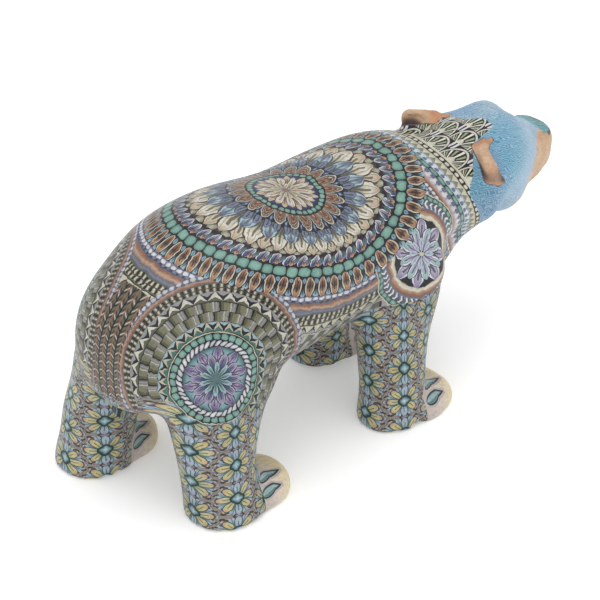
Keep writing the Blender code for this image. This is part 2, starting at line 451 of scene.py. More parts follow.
def back_lines():
    """The white pearls and the orange-brown line that edge the back."""
    clay = Clay("back_lines")
    level, turn = oval(*clay.laid(0.35))
    colour = clay.ramp(level + clay.fleck() * 0.03, [
        (1.17, BLACK), (1.185, STEEL), (1.215, SLATE), (1.232, NAVY), (1.245, TAUPE), (1.26, RUST),
        (1.285, PEACH), (1.31, TAUPE), (1.33, STEEL), (1.35, SLATE)])
    colour = clay.beads(colour, turn, (level - 1.224) * 40, STEEL, NAVY,
                        count=108, shift=0.5, length=0.34, width=0.62)
    colour = clay.beads(colour, turn, (level - 1.200) * 40, WHITE, LILAC, count=108, length=0.42, width=0.62)
    return clay.finish(colour)


def flank_rows():
    """Narrow rows below the back's edge: comb, cream teeth on black, and blocks."""
    clay = Clay("flank_rows")
    level, turn = oval(*clay.laid(0.4))
    colour = clay.ramp(level, [
        (1.34, SLATE), (1.355, OLIVE), (1.43, MOSS), (1.445, OLIVE), (1.45, BLACK), (1.54, BLACK),
        (1.545, CREAM), (1.56, STONE), (1.80, STONE)])
    colour = clay.over(colour, BLACK, turn.cell(150).size().below(0.2) * level.between(1.355, 1.44))
    colour = clay.over(colour, CREAM, turn.cell(150, 0.5).size().below(0.16) * level.between(1.36, 1.435))
    colour = clay.over(colour, BROWN, level.between(1.392, 1.402))
    row = level.between(1.455, 1.535)
    colour = clay.teeth(colour, turn, 84, (level - 1.455) / 0.08, CREAM, row)
    colour = clay.teeth(colour, turn, 84, (1.535 - level) / 0.04, STONE, row, shift=0.5)
    course = (level - 1.56) / 0.08
    block = (turn * 64 + course.whole() * 0.4).part()
    row = level.above(1.56)
    colour = clay.over(colour, OLIVE, block.below(0.40) * row)
    colour = clay.over(colour, CREAM, block.between(0.74, 0.86) * row)
    colour = clay.over(colour, BLACK, block.between(0.40, 0.52) * row)
    colour = clay.over(colour, BLACK, course.part().below(0.10) * row * block.below(0.5))
    return clay.finish(colour)


def hip_rosette():
    """The round slice on the haunch: a purple and teal flower in white twist and teal beads."""
    clay = Clay("hip_rosette")
    reach, turn = polar(*clay.laid(0.3))
    star_leaf = clay.run(PLUM, PURPLE, LILAC, PURPLE, PLUM)
    inner_leaf = clay.run(PLUM, BLUE, STEEL, LILAC)
    heart_leaf = clay.run(NAVY, TEAL, PALE_TEAL, PALE_SKY)
    colour = clay.ramp(reach, [
        (0.0, TEAL), (4.0, SLATE), (6.5, PALE_TEAL), (9.4, SKY), (10.4, TEAL), (10.9, PLUM)])
    colour = clay.petals(colour, reach, turn, star_leaf, PLUM, PALE_TEAL,
                         count=10, start=3.6, end=11.0, width=0.44, fullness=0.85)
    colour = clay.petals(colour, reach, turn, inner_leaf, PLUM, LILAC,
                         count=10, shift=0.5, start=2.4, end=8.8, width=0.45, fullness=0.8)
    colour = clay.petals(colour, reach, turn, heart_leaf, NAVY, PALE_SKY,
                         count=10, start=0.6, end=5.8, width=0.44, fullness=0.8)
    colour = clay.over(colour, BLACK, reach.above(10.9))
    twist = turn + (reach - 12.0) * 0.010
    colour = clay.beads(colour, twist, reach - 11.95, WHITE, STEEL, count=40, length=0.40, width=0.95)
    colour = clay.beads(colour, turn, reach - 14.1, PALE_TEAL, TEAL, count=34, length=0.44, width=1.0)
    colour = clay.over(colour, CREAM, reach.above(15.4))
    return clay.finish(colour)


def hip_rows():
    """The rows round the haunch: teeth on black, blocks, comb, orange line and pearls."""
    clay = Clay("hip_rows")
    reach, turn = polar(*clay.laid(0.4))
    colour = clay.ramp(reach + clay.fleck() * 0.9, [
        (15.6, BLACK), (18.9, BLACK), (19.2, shade(138, 136, 130)), (25.0, shade(122, 122, 116)),
        (25.2, BLACK), (28.5, BLACK), (28.7, OLIVE), (30.6, OLIVE), (30.9, SLATE), (31.2, TAUPE),
        (31.6, RUST), (32.4, PEACH), (32.8, STEEL), (34.8, SLATE)])
    row = reach.between(15.9, 18.9)
    colour = clay.teeth(colour, turn, 30, (reach - 16.0) / 2.9, CREAM, row)
    colour = clay.teeth(colour, turn, 30, (reach - 16.0) / 1.5, TEAL, row)
    colour = clay.teeth(colour, turn, 30, (18.9 - reach) / 1.1, PALE_SKY, row, shift=0.5)
    course = (reach - 19.2) / 3.0
    block = (turn * 26 + course.whole() * 0.36).part()
    row = reach.between(19.2, 25.15)
    colour = clay.over(colour, shade(120, 120, 94), block.below(0.26) * row)
    colour = clay.over(colour, shade(88, 90, 66), block.between(0.26, 0.42) * row)
    colour = clay.over(colour, STONE, block.between(0.62, 0.70) * row)
    colour = clay.over(colour, CREAM, block.between(0.80, 0.87) * row)
    colour = clay.over(colour, BLACK, block.between(0.42, 0.53) * row)
    colour = clay.over(colour, BLACK, (reach - 22.2).size().below(0.26) * block.between(0.08, 0.53))
    row = reach.between(25.5, 28.5)
    colour = clay.teeth(colour, turn, 34, (reach - 25.6) / 2.8, PALE_CREAM, row)
    colour = clay.teeth(colour, turn, 34, (reach - 25.6) / 1.2, OLIVE, row)
    colour = clay.teeth(colour, turn, 34, (28.4 - reach) / 1.3, STONE, row, shift=0.5)
    row = reach.between(28.6, 31.0)
    colour = clay.over(colour, CREAM, turn.cell(80, 0.5).size().below(0.16) * row)
    colour = clay.over(colour, BLACK, turn.cell(80).size().below(0.17) * row)
    colour = clay.over(colour, BROWN, reach.between(29.6, 29.95))
    colour = clay.beads(colour, turn, reach - 33.6, WHITE, LILAC, count=84, length=0.42, width=0.62)
    colour = clay.beads(colour, turn, reach - 32.9, STEEL, NAVY, count=84, shift=0.5, length=0.26, width=0.40)
    return clay.finish(clay.darker(colour, 0.2))


def shoulder_rosette():
    """The round slice on the shoulder: a purple flower on black, framed cream and orange."""
    clay = Clay("shoulder_rosette")
    reach, turn = polar(*clay.laid(0.28))
    long_leaf = clay.run(TEAL, PALE_SKY, LILAC, LILAC, PURPLE)
    mid_leaf = clay.run(PLUM, LILAC, PALE_SKY, PALE_TEAL)
    colour = clay.ramp(reach + clay.fleck() * 0.6, [
        (0.0, BLACK), (11.5, BLACK), (11.8, CREAM), (12.9, PALE_CREAM), (13.2, PEACH), (14.4, RUST),
        (15.0, TAUPE), (15.5, STEEL), (18.0, SLATE), (20.5, NAVY)])
    colour = clay.petals(colour, reach, turn, long_leaf, NAVY, WHITE,
                         count=8, shift=0.5, start=2.5, end=11.6, width=0.48, fullness=0.65)
    colour = clay.petals(colour, reach, turn, mid_leaf, PLUM, WHITE,
                         count=8, start=1.2, end=9.4, width=0.44)
    colour = clay.petals(colour, reach, turn, PALE_SKY, PURPLE, WHITE,
                         count=8, shift=0.5, start=0.4, end=5.4, width=0.42, fullness=0.8)
    colour = clay.over(colour, CREAM, reach.below(0.9))
    chevron = (turn * 50 + (reach - 16.9).size() * 0.3).part()
    row = reach.between(15.6, 18.1)
    colour = clay.over(colour, WHITE, chevron.below(0.36) * row)
    colour = clay.over(colour, SLATE, chevron.between(0.36, 0.60) * row)
    colour = clay.beads(colour, turn, reach - 19.1, PALE_TEAL, TEAL, count=48, length=0.44, width=0.72)
    colour = clay.over(colour, CREAM, reach.above(20.1))
    return clay.finish(colour)


def neck_rows():
    """The collar's rows: pearls, orange line, blue and white beads, a teal line, cream."""
    clay = Clay("neck_rows")
    across, turn = clay.laid(0.4, 0.002)
    colour = clay.ramp(across + clay.fleck() * 0.6, [
        (0.0, BLACK), (0.3, STEEL), (1.6, SLATE), (2.0, RUST), (3.1, PEACH), (3.4, LILAC), (6.2, STEEL),
        (6.4, BLACK), (7.9, BLACK), (8.1, PALE_SKY), (10.4, STEEL), (10.7, PALE_CREAM), (12.8, CREAM),
        (13.1, BLACK), (14.9, BLACK), (15.1, CREAM), (16.0, PALE_CREAM)])
    colour = clay.beads(colour, turn, across - 1.0, WHITE, LILAC, count=84, length=0.40, width=0.58)
    colour = clay.beads(colour, turn, across - 4.6, WHITE, LILAC, count=50, shift=0.5, length=0.42, width=1.3)
    colour = clay.beads(colour, turn, across - 5.4, STEEL, NAVY, count=50, length=0.30, width=0.60)
    colour = clay.beads(colour, turn, across - 7.15, PALE_TEAL, TEAL, count=36, length=0.46, width=0.66)
    colour = clay.beads(colour, turn, across - 9.3, WHITE, PALE_SKY, count=50, length=0.42, width=1.10)
    colour = clay.beads(colour, turn, across - 8.9, STEEL, BLUE, count=50, shift=0.5, length=0.28, width=0.60)
    colour = clay.teeth(colour, turn, 50, (across - 10.7) / 2.0, MOSS, across.between(10.7, 12.7))
    colour = clay.beads(colour, turn, across - 14.0, PALE_CREAM, CREAM, count=56, length=0.34, width=0.60)
    return clay.finish(colour)


def nape_fans():
    """Behind and between the ears: cream-edged fans on black, veined in cream and pale green."""
    clay = Clay("nape_fans")
    across, turn = clay.laid(0.3, 0.0015)
    row = (across - COLLAR_WIDTH) / 8.5
    t = row.part()
    side = (turn * 15 + row.whole() * 0.5).cell()
    bow = (side / 0.5).size() ** 2.0 + t ** 2.2
    veins = (side / (t + 0.3)).cell(2.6).size()
    colour = clay.ramp(bow, [
        (0.0, PALE_CREAM), (0.05, CREAM), (0.09, BLACK), (0.70, BLACK), (0.73, CREAM), (0.84, PALE_CREAM),
        (0.89, WHITE), (0.92, BLACK), (1.0, BLACK)])
    colour = clay.over(colour, shade(146, 160, 126), veins.above(0.38) * bow.between(0.12, 0.62))
    colour = clay.over(colour, shade(222, 218, 200), veins.below(0.11) * bow.between(0.03, 0.68))
    seam = (side.size() - 0.5).size()
    outer = clay.over(BLACK, WHITE, seam.below(0.12) * t.above(0.55))
    outer = clay.over(outer, BLACK, seam.below(0.035))
    return clay.finish(clay.over(outer, colour, bow.below(1.0)))


def head_lines(clay):
    """Fine winding lines, as where thin strands of clay are pressed side by side."""
    wave = clay.add("ShaderNodeTexWave", wave_type="BANDS", bands_direction="DIAGONAL")
    clay.feed(wave.inputs["Vector"], clay.place)
    wave.inputs["Scale"].default_value = 520.0
    wave.inputs["Distortion"].default_value = 16.0
    wave.inputs["Detail"].default_value = 1.0
    wave.inputs["Detail Scale"].default_value = 0.75
    wave.inputs["Detail Roughness"].default_value = 0.5
    return Measure(clay, wave.outputs["Fac"]).eased(0.3, 0.8)


def head_blue():
    """The head: blue with fine winding lines, tan at the muzzle's sides, green behind the nose."""
    clay = Clay("head_blue")
    x, y, z = (level * (1 / MM) for level in clay.split(clay.place, 3))
    off = (y - FACE_LINE).size()
    lines = head_lines(clay)
    cloud = clay.noise(60, 3.0).eased(0.3, 0.7)
    grain = clay.noise(1300, 3.0, 0.7)
    deep = clay.over(shade(66, 130, 158), shade(92, 142, 174), cloud)
    pale = clay.over(shade(134, 182, 202), shade(158, 184, 210), cloud)
    # Painted light: the head paler and greyer towards its top, as where light falls from above
    crown = z.eased(83.0, 87.5) * 0.6
    deep = clay.over(deep, shade(150, 164, 178), crown)
    pale = clay.over(pale, shade(196, 202, 210), crown)
    colour = clay.over(deep, pale, (lines * 0.9 + grain * 1.1 - 0.47).most(1.0))
    # Painted shade: the head darker towards its back and the neck
    colour = clay.darker(colour, (1 - x.eased(50.0, 66.0)) * 0.2)
    fleck = clay.fleck(900) * 6

    # How far towards the nose, along a line that drops by 30 degrees
    front = x * 0.866 - z * 0.5 + fleck
    colour = clay.over(colour, shade(176, 196, 214), front.eased(16.0, 36.0) * 0.6)
    tan = clay.over(shade(206, 174, 142), shade(192, 154, 122), clay.noise(120, 2.0).eased(0.3, 0.7))
    colour = clay.over(colour, tan, front.eased(36.2, 38.6) * (1 - (z + fleck * 0.15).eased(71.9, 72.9)))
    pad = (x + fleck * 0.15 - off * 0.1).eased(91.5, 93.5)
    colour = clay.over(colour, shade(76, 92, 88), pad * x.eased(94.0, 96.0) * z.eased(69.9, 70.5))
    green = clay.over(shade(88, 138, 146), shade(128, 170, 172), lines)
    colour = clay.over(colour, green, pad * (z + fleck * 0.1).eased(70.9, 71.5))
    colour = clay.over(colour, BROWN, above_lips(x, off, z).size().below(0.32) * x.above(83.0))
    parting = off.below(0.3) * above_lips(x, off, z).above(0.0) * x.above(PARTING_BACK) * z.below(PARTING_TOP)
    colour = clay.over(colour, BROWN, parting)
    return clay.finish(colour, relief=0.04)


def ear_clay():
    """The ears: tan rims, redder towards their ends, with painted shade in their round hollows."""
    clay = Clay("ear_clay")
    out, end = clay.laid(0.3)
    marble = clay.noise(160, 3.0).eased(0.3, 0.7)
    rim = clay.over(shade(206, 172, 142), shade(192, 156, 126), marble)
    red = clay.over(shade(194, 142, 106), shade(180, 126, 92), marble)
    colour = clay.over(rim, red, end.eased(3.5, 8.0) + (end * -1).eased(4.5, 9.0) * 0.5)
    # Painted shade in each ear's hollow: dark round a point below the ear's middle, edged in a softer brown
    off = end + 3.5
    depth = (out * out - end * end + off * off).least(0.0).root()
    colour = clay.over(colour, shade(122, 98, 84), 1 - depth.eased(6.6, 8.4))
    colour = clay.over(colour, shade(50, 42, 48), 1 - depth.eased(5.8, 7.6))
    return clay.finish(colour, 0.42, 0.03)


def plain_clay(name, light, dark, scale, relief, roughness):
    """One colour of clay, marbled a little with a second."""
    clay = Clay(name)
    marble = clay.noise(scale, 4.0, 0.6).eased(0.3, 0.7)
    return clay.finish(clay.over(light, dark, marble), roughness, relief)


def lattice_net(clay, x, y, reach, turn):
    """The fine lines between the flowers, which run along the edges of their six-sided cells."""
    rim = ((x + y * 0.5) * 1.6).least(y * 2)
    pink = shade(148, 138, 134)
    net = clay.ramp(rim, [
        (0.64, OLIVE), (0.69, BROWN), (0.73, pink), (0.78, TAUPE), (0.81, BROWN), (0.845, pink),
        (0.89, CREAM), (0.92, BROWN), (0.955, pink), (1.0, MOSS)])
    wave = (turn * 12 + rim * 2.0).cell().size()
    net = clay.over(net, shade(66, 52, 52), wave.above(0.38) * rim.between(0.66, 1.0))
    net = clay.over(net, STEEL, wave.below(0.10) * rim.between(0.74, 0.96))
    net = clay.over(net, SKY, x.below(0.05) * reach.above(0.40))
    return clay.over(net, PALE_SKY, x.below(0.02) * reach.above(0.34))


def lattice_flower(clay, reach, turn, tint):
    """One flower: two blue leaves along the leg and six to the sides, from yellow to green by tint."""
    yellow_leaf = clay.run(
        shade(108, 114, 84), shade(160, 162, 114), shade(196, 186, 134), shade(176, 156, 116))
    green_leaf = clay.run(
        shade(84, 112, 104), shade(136, 158, 126), shade(186, 186, 148), shade(190, 160, 126))
    blue_leaf = clay.run(TEAL, SKY, PALE_SKY, LILAC)
    grey_line = shade(70, 66, 76)

    def leaf(t):
        side_leaf = clay.over(yellow_leaf(t), green_leaf(t), tint.eased(0.3, 0.8))
        return clay.over(side_leaf, blue_leaf(t), turn.above(0.1875))

    flower = clay.ramp(reach, [(0.30, TEAL), (0.38, STEEL), (0.44, PLUM), (0.49, SLATE)])
    flower = clay.petals(flower, reach, turn, blue_leaf, grey_line, PALE_SKY,
                         count=8, shift=0.5, start=0.20, end=0.58, width=0.26, fullness=0.5)
    return clay.petals(flower, reach, turn, leaf, grey_line,
                       count=8, start=0.02, end=0.47, width=0.45, fullness=0.5)


def leg_lattice():
    """The lattice of eight-leaved flowers on legs, belly and chest, in a net of fine lines."""
    clay = Clay("leg_lattice")
    across, along = clay.laid(0.07)
    column = across.number()
    along = along + (column * 0.5).part()
    flower_row = along.number()
    x = across.cell().size()
    y = along.cell().size()
    next_one = (x * 2 + y).above(1.25)
    x = next_one * (1 - x * 2) + x
    y = next_one * (0.5 - y * 2) + y
    reach, turn = polar(x, y)
    net = lattice_net(clay, x, y, reach, turn)
    flower = lattice_flower(clay, reach, turn, clay.chance(column, flower_row, turn.number(8)))
    colour = clay.over(net, flower, (reach + (turn * 8).cell().size() * 0.05).below(0.49))
    heart_level = reach + turn.cell(4).size() * 0.07
    heart = clay.ramp(heart_level, [
        (0.0, shade(196, 208, 212)), (0.06, PALE_SKY), (0.10, SKY), (0.13, TEAL), (0.15, shade(34, 50, 54)),
        (0.20, shade(36, 48, 52))])
    colour = clay.over(colour, heart, heart_level.below(0.198))
    return clay.finish(clay.darker(colour, clay.chance(column, flower_row, 1.0) * 0.2 + 0.04))


def rump_rows():
    """Upright rows of small keys down the middle of the rump, grey, olive and brown."""
    clay = Clay("rump_rows")
    across, along = clay.laid(0.4)
    x = across.cell(1 / 3.6).size()
    key = (along / 3.2 + x * 0.9 + across.number(1 / 3.6) * 0.5).part()
    colour = clay.over(TAUPE, OLIVE, key.below(0.34))
    colour = clay.over(colour, BLACK, key.between(0.34, 0.48))
    colour = clay.over(colour, CREAM, key.between(0.60, 0.70))
    colour = clay.over(colour, BROWN, key.above(0.80))
    colour = clay.over(colour, BLACK, x.above(0.42))
    colour = clay.over(colour, RUST, x.below(0.06))
    return clay.finish(colour)


def paw_clay():
    """The paws: cream, greyer round the teal claws, which are edged dark and point forward."""
    clay = Clay("paw_clay")
    ahead, round_it = clay.laid(0.12)
    colour = clay.ramp(ahead + clay.fleck(300, 3.0) * 5, [
        (-10.0, shade(176, 164, 160)), (-2.0, shade(202, 190, 180)), (3.0, shade(216, 202, 178)),
        (8.0, shade(226, 208, 166)), (16.0, shade(212, 192, 148))])

    # One claw in the middle and two to each side, each a bent leaf from t = 0 at its root to 1 at its tip
    spread_out = (round_it * (1 - ahead.least(0.0) * 0.036)).size()
    second = spread_out.above(4.0)
    third = spread_out.above(10.4)
    off = spread_out - second * 8.0 - third * 4.7
    t = (ahead + 5.2 + second * 0.8) / (8.6 + second * 3.9 - third * 3.0)
    bend = off + t * t * 1.6 - 0.7
    half_width = (t.least(0.0) ** 0.5) * ((1 - t).least(0.0) ** 1.1) * 4.6
    inside = half_width - bend.size()
    near = t.between(-0.08, 1.06) * spread_out.below(16.0)
    colour = clay.over(colour, shade(182, 170, 168), (inside + 0.7).above(0.0) * near)
    colour = clay.over(colour, shade(40, 46, 52), inside.above(0.0) * near)
    colour = clay.over(colour, shade(96, 126, 126), inside.above(0.45))
    colour = clay.over(colour, shade(148, 172, 170), inside.above(0.7) * bend.below(0.3))
    return clay.finish(colour, relief=0.03)


def ear_foot_shade():
    """Painted shade: the thin dark band where an ear meets the head."""
    return plain_clay("ear_foot_shade", shade(104, 90, 88), shade(86, 76, 78), 200, 0.02, 0.45)


def nose_clay():
    """The dark nose."""
    return plain_clay("nose_clay", shade(58, 78, 82), shade(80, 104, 106), 200, 0.05, 0.3)


def sole_clay():
    """The cream soles."""
    return plain_clay("sole_clay", CREAM, shade(176, 162, 128), 60, 0.04, 0.5)


def eye_clay():
    """The glossy dark beads of the eyes."""
    return plain_clay("eye_clay", shade(30, 26, 26), shade(52, 42, 38), 900, 0.01, 0.16)


# The bear's shape


def deselect():
    bpy.ops.object.select_all(action="DESELECT")


def take_up(piece):
    """Selects this piece alone."""
    deselect()
    piece.select_set(True)
    bpy.context.view_layer.objects.active = piece


def modify(piece, kind, **settings):
    """Adds one modifier and applies it."""
    modifier = piece.modifiers.new(kind.lower(), kind)
    for key, value in settings.items():
        setattr(modifier, key, value)
    take_up(piece)
    bpy.ops.object.modifier_apply(modifier=modifier.name)


SKIN_GRAIN = 1.0 * MM
SIDES = (-1, 1)

# The ears, in millimetres and degrees: the same flaps as the solid has, modelled finer. The left one
# stands higher, and the painted shade in the hollow of the right one is smaller.
EAR_AHEAD = 58.8
EAR_HEIGHT = 75.6
EARS_MIDDLE = -2.9
EAR_APART = 14.1
EAR_LIFT = 1.8
EAR_REACH = 11.2
EAR_FOOT = 1.5
EAR_HALF_LENGTH = 8.1
EAR_HALF_MIDDLE = 0.9
EAR_HALF_RIM = 3.5
EAR_FLARE = 3.1
EAR_CUP = 2.0
EAR_LEAN = 0.3
EAR_TURNS = (("Z", 22), ("X", 55), ("Z", 12))
RIGHT_EAR_SHADE_SHRINK = 0.5
ROUGH_EAR_THINNED = 0.35
ROUGH_EAR_LOWERED = 0.8


def ear_turn(outward):
    """How an ear stands: swept back, on the slope of the skull and laid back."""
    turns = [Matrix.Rotation(outward * math.radians(degrees), 4, axis) for axis, degrees in EAR_TURNS]
    return turns[0] @ turns[1] @ turns[2]


def ear_place(outward):
    """Where an ear stands: the left one, where outward is 1, or the right one, where it is -1."""
    height = EAR_HEIGHT + max(outward, 0) * EAR_LIFT
    return Matrix.Translation((EAR_AHEAD, EARS_MIDDLE + outward * EAR_APART, height)) @ ear_turn(outward)


def ear_half(spread, z):
    """Half the ear's thickness: thin in its middle, thick at the rim and more so at the ends."""
    rim = EAR_HALF_RIM + EAR_FLARE * z * z * (1 + z / 3)
    return (EAR_HALF_MIDDLE + (rim - EAR_HALF_MIDDLE) * spread) * np.sqrt(1 - np.minimum(spread, 1) ** 3)


def ear_flap(outward):
    """A hollowed flap on the skull, to the left or, where outward is -1, to the right."""
    deselect()
    bpy.ops.mesh.primitive_uv_sphere_add(segments=64, ring_count=48, radius=1, location=(0, 0, 0))
    flap = bpy.context.object
    for v in flap.data.vertices:
        x, y, z = v.co
        half = float(ear_half(y * y + z * z, z))
        reach = EAR_REACH * (1 - EAR_LEAN * z)
        v.co = (math.copysign(half, x) - EAR_CUP * (1 - z * z), reach * y, EAR_HALF_LENGTH * z)
    flap.data.transform(Matrix.Scale(MM, 4) @ ear_place(outward))
    return flap


def in_ear(points, outward):
    """Points, in millimetres, as an ear sees them: how far out and along it, and how far outside it.

    Outside is past the flap's faces, past its rim or below its foot, each with a little room to spare.
    """
    turn = np.array(ear_place(outward).inverted())
    x, y, z = (points @ turn[:3, :3].T + turn[:3, 3]).T
    z = z / EAR_HALF_LENGTH
    y = y * outward / (EAR_REACH * (1 - EAR_LEAN * np.clip(z, -1, 1)))
    spread = y * y + z * z
    from_face = np.abs(x + EAR_CUP * (1 - z * z)) - ear_half(spread * 0.86, z) - 0.45
    from_rim = (np.sqrt(spread) - 1.1) * 9
    from_skull = -y * 8 - 2.5
    return np.sqrt(spread) * 10, z * 10, np.maximum(np.maximum(from_face, from_rim), from_skull)


def sink_rough_ears(bear):
    """Thins and lowers the solid's own ears, so that they end inside the finer flaps."""
    for v in bear.data.vertices:
        for outward in SIDES:
            x, y, z = ear_place(outward).inverted() @ (v.co / MM)
            y *= outward
            if abs(x) < 6 and y > EAR_FOOT and abs(z) < EAR_HALF_LENGTH + 1:
                sink = min((y - EAR_FOOT) / EAR_FOOT, 1)
                shift = Vector((x * ROUGH_EAR_THINNED * sink, ROUGH_EAR_LOWERED * outward * sink, 0))
                v.co -= ear_turn(outward).to_3x3() @ shift * MM


def raw_bear():
    """The solid, rounded and remade in fine even faces."""
    bear = bpy.data.objects.new("inlaid_bear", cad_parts["polar_bear"].data.copy())
    bpy.context.scene.collection.objects.link(bear)
    take_up(bear)
    bpy.ops.object.mode_set(mode="EDIT")
    bpy.ops.mesh.select_all(action="SELECT")
    bpy.ops.mesh.remove_doubles(threshold=0.01 * MM)
    bpy.ops.object.mode_set(mode="OBJECT")
    bear.data.materials.clear()
    modify(bear, "SUBSURF", levels=1, render_levels=1)
    sink_rough_ears(bear)
    flaps = [ear_flap(outward) for outward in SIDES]
    take_up(bear)
    for flap in flaps:
        flap.select_set(True)
    bpy.ops.object.join()
    modify(bear, "REMESH", mode="VOXEL", voxel_size=SKIN_GRAIN)
    modify(bear, "SMOOTH", factor=0.5, iterations=4)
    modify(bear, "TRIANGULATE")
    return bear


def points_of(mesh):
    flat = np.empty(len(mesh.vertices) * 3)
    mesh.vertices.foreach_get("co", flat)
    return flat.reshape(-1, 3)


def faces_of(mesh):
    flat = np.empty(len(mesh.polygons) * 3, dtype=np.int64)
    mesh.polygons.foreach_get("vertices", flat)
    return flat.reshape(-1, 3)


def normals_of(points, faces):
    corners = points[faces]
    across = np.cross(corners[:, 1] - corners[:, 0], corners[:, 2] - corners[:, 0])
    normals = np.zeros_like(points)
    for corner in range(3):
        for axis in range(3):
            normals[:, axis] += np.bincount(faces[:, corner], across[:, axis], len(points))
    return normals / np.maximum(np.linalg.norm(normals, axis=1), 1e-12)[:, None]


def press(points, normals, centre, radius, depth):
    """Pushes the skin in by depth, or out where depth is negative, round a centre."""
    away = np.linalg.norm(points - np.array(centre) * MM, axis=1) / (radius * MM)
    soft = np.clip(1 - away ** 2, 0, 1) ** 2
    points -= normals * (soft * depth * MM)[:, None]


EYES = {"eye_right": (82.8, -8.5, 78.6), "eye_left": (82.8, 2.5, 78.6)}
EYE_RADIUS = 1.7
EYE_SINK = 0.15
EYE_FLATNESS = 0.62
FACE_LINE = -3.0
LIP_SOFTNESS = 1.5
MOUTH_CORNER = 82.0
PARTING_BACK = 95.0
PARTING_TOP = 68.0
NOSE = (100.5, FACE_LINE, 69.8)
NOSE_SIZE = (5.5, 7.2, 4.0)

# The middle of each leg and of each paw, ahead and to the left, in millimetres
LEGS = {
    "hind_right": (-70.0, -25.5),
    "hind_left": (-84.0, 25.5),
    "fore_right": (8.0, -24.5),
    "fore_left": (17.0, 18.5),
}
PAWS = {
    "hind_right": (-59.5, -25.0),
    "hind_left": (-73.5, 25.5),
    "fore_right": (17.5, -24.5),
    "fore_left": (26.0, 18.5),
}


def above_lips(x, off, z):
    """Height above the line of the lips, at a distance off to the side of the face's middle."""
    return z - x * 0.11 + off * 0.23 - 51.2


def both_sides(x, off, z, middle=FACE_LINE):
    """A place to the right of the middle, and the same place to the left of it."""
    return [(x, middle + side * off, z) for side in SIDES]


# Presses of thumb and tool: the places, the radius, and the depth, or the swell where it is below 0
HEAD_PRESSES = {
    "beside_left_ear": ([(49.0, 9.5, 83.5)], 10.0, 3.0),
    "behind_left_ear": ([(42.0, 8.5, 85.0)], 9.0, 0.8),
    "jowls": (both_sides(66.5, 13.5, 54.0), 10.0, 2.4),
    "jaw_corners": (both_sides(57.0, 17.0, 59.0), 7.0, -0.8),
    "throat": (both_sides(41.0, 17.3, 54.5), 9.0, 1.8),
    "brows": (both_sides(79.5, 7.5, 83.0), 5.0, -0.5),
    "neck_foot": (both_sides(35.0, 25.0, 56.0, middle=0), 13.0, 2.8),
    "forehead": ([(75.5, -2.0, 86.0)], 6.0, -1.2),
    "crown": ([(66.0, 3.0, 85.5)], 10.0, 1.3),
    "between_brows": ([(78.5, FACE_LINE, 85.5)], 6.0, 1.1),
    "right_shoulder": ([(20.5, -31.0, 56.5)], 9.0, -1.8),
}
FACE_PRESSES = {
    "stop": ([(84.5, -3.5, 79.5)], 7.0, 1.2),
    "eye_hollows": (EYES.values(), 4.0, 1.9),
    "bridge": ([(90.0, -3.0, 76.0)], 7.0, -0.5),
    "muzzle_sides": ([(97.0, -10.0, 71.0), (97.0, 4.5, 71.0)], 7.0, -1.1),
    "nose": ([NOSE], 8.0, -0.7),
    "nostrils": (both_sides(100.3, 3.0, 69.3), 2.3, 1.2),
}


def model_finely(points, faces):
    """Neck, jowls, paws and face, finer than the solid has them: eye hollows, nose, nostrils and mouth."""
    normals = normals_of(points, faces)
    presses = list(HEAD_PRESSES.values())
    for leg, (cx, cy) in PAWS.items():
        fore = leg.startswith("fore")
        outward = math.copysign(1, cy)
        presses.append(([(cx + 2.5, cy, 13.0)], 9.5, 2.6))
        presses.append(([(cx + 8.0, cy + outward * 9.0, 4.0)], 9.0, -1.3 if fore else -0.4))
        if fore:
            presses.append(([(cx - 3.5, cy + outward * 11.5, 3.0)], 9.0, -1.3))
    presses += FACE_PRESSES.values()
    for places, radius, depth in presses:
        for place in places:
            press(points, normals, place, radius, depth)
    x, y, z = (points / MM).T
    off = np.abs(y - FACE_LINE)
    height = above_lips(x, off, z) / LIP_SOFTNESS
    mouth = np.clip(1 - height ** 2, 0, 1) * np.clip((x - MOUTH_CORNER) / 3, 0, 1)
    parting = np.clip(1 - (off / 1.3) ** 2, 0, 1) * np.clip((x - PARTING_BACK) / 2, 0, 1)
    parting *= np.clip(height, 0, 1) * np.clip(PARTING_TOP - z, 0, 1)
    points -= normals * ((mouth * 0.6 + parting * 0.4) * MM)[:, None]


# Laying the slices out on the skin


TINY = 1e-9
FAR_OFF = 1e4


def edges_of(faces):
    """Every edge once, as the numbers of its two points."""
    edges = np.vstack([faces[:, [0, 1]], faces[:, [1, 2]], faces[:, [2, 0]]])
    return np.unique(np.sort(edges, axis=1), axis=0)


def neighbours_of(edges, count):
    near = [[] for _ in range(count)]
    for a, b in edges.tolist():
        near[a].append(b)
        near[b].append(a)
    return near


def laid_beside(i, laid, place, up, at, facing):
    """Where a point comes to lie on the flat and which way is ahead there, by its laid neighbours."""
    total = u = v = ax = ay = az = 0.0
    for j in laid:
        n = up[j]
        px, py, pz = place[j]
        dx, dy, dz = place[i][0] - px, place[i][1] - py, place[i][2] - pz
        length = math.sqrt(dx * dx + dy * dy + dz * dz)
        lift = dx * n[0] + dy * n[1] + dz * n[2]
        tx, ty, tz = dx - lift * n[0], dy - lift * n[1], dz - lift * n[2]
        scale = length / max(math.sqrt(tx * tx + ty * ty + tz * tz), TINY)
        a = facing[j]
        bx = n[1] * a[2] - n[2] * a[1]
        by = n[2] * a[0] - n[0] * a[2]
        bz = n[0] * a[1] - n[1] * a[0]
        weight = 1 / length
        u += weight * (at[j][0] + (tx * a[0] + ty * a[1] + tz * a[2]) * scale)
        v += weight * (at[j][1] + (tx * bx + ty * by + tz * bz) * scale)
        ax += weight * a[0]
        ay += weight * a[1]
        az += weight * a[2]
        total += weight
    n = up[i]
    lift = ax * n[0] + ay * n[1] + az * n[2]
    ax, ay, az = ax - lift * n[0], ay - lift * n[1], az - lift * n[2]
    length = max(math.sqrt(ax * ax + ay * ay + az * az), TINY)
    return (u / total, v / total), (ax / length, ay / length, az / length)


